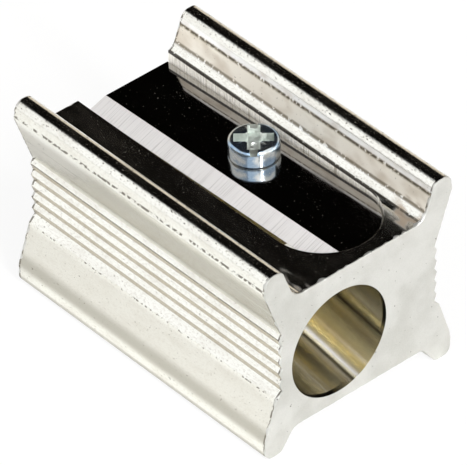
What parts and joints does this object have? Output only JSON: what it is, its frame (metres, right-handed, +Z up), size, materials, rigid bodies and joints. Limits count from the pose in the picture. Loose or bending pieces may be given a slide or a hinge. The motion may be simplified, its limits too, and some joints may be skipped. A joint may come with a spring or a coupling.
{
  "type": "block pencil sharpener",
  "caption": "Hand-held block pencil sharpener: extruded light-metal block with a conical pencil hole and a steel blade held by a screw.",
  "frame": {"origin": "middle of the rectangle that the block stands on, on the plane under its feet", "axes": "+X across the block to the right seen from the mouth, +Y along the block from the mouth to the back, +Z up"},
  "size_m": [0.0164, 0.0246, 0.0152],
  "materials": {
    "block_metal": "drawn light metal, bright sides with lengthwise die lines, sawn matte ends",
    "blade_steel": "polished hardened steel with a ground bevel",
    "screw_zinc": "bright zinc plate with a blue passivated tint"
  },
  "bodies": {
    "block": {"sharpener_block": "block_metal"},
    "blade": {"blade": "blade_steel"},
    "screw": {"blade_screw": "screw_zinc"}
  },
  "joints": [
    {"name": "blade_lift", "type": "slide", "parent": "block", "child": "blade", "axis": [0, 0.0227, 0.9997], "range_m": [0, 0.004]},
    {"name": "screw_turn", "type": "hinge", "parent": "blade", "child": "screw", "pos_m": [0.00269, 0.00081, 0.0119], "axis": [0, 0.0227, 0.9997], "range_deg": [0, 3601]}
  ],
  "couplings": [
    {"joint": "screw_turn", "follows": "blade_lift", "rad_per_m": 15708}
  ]
}
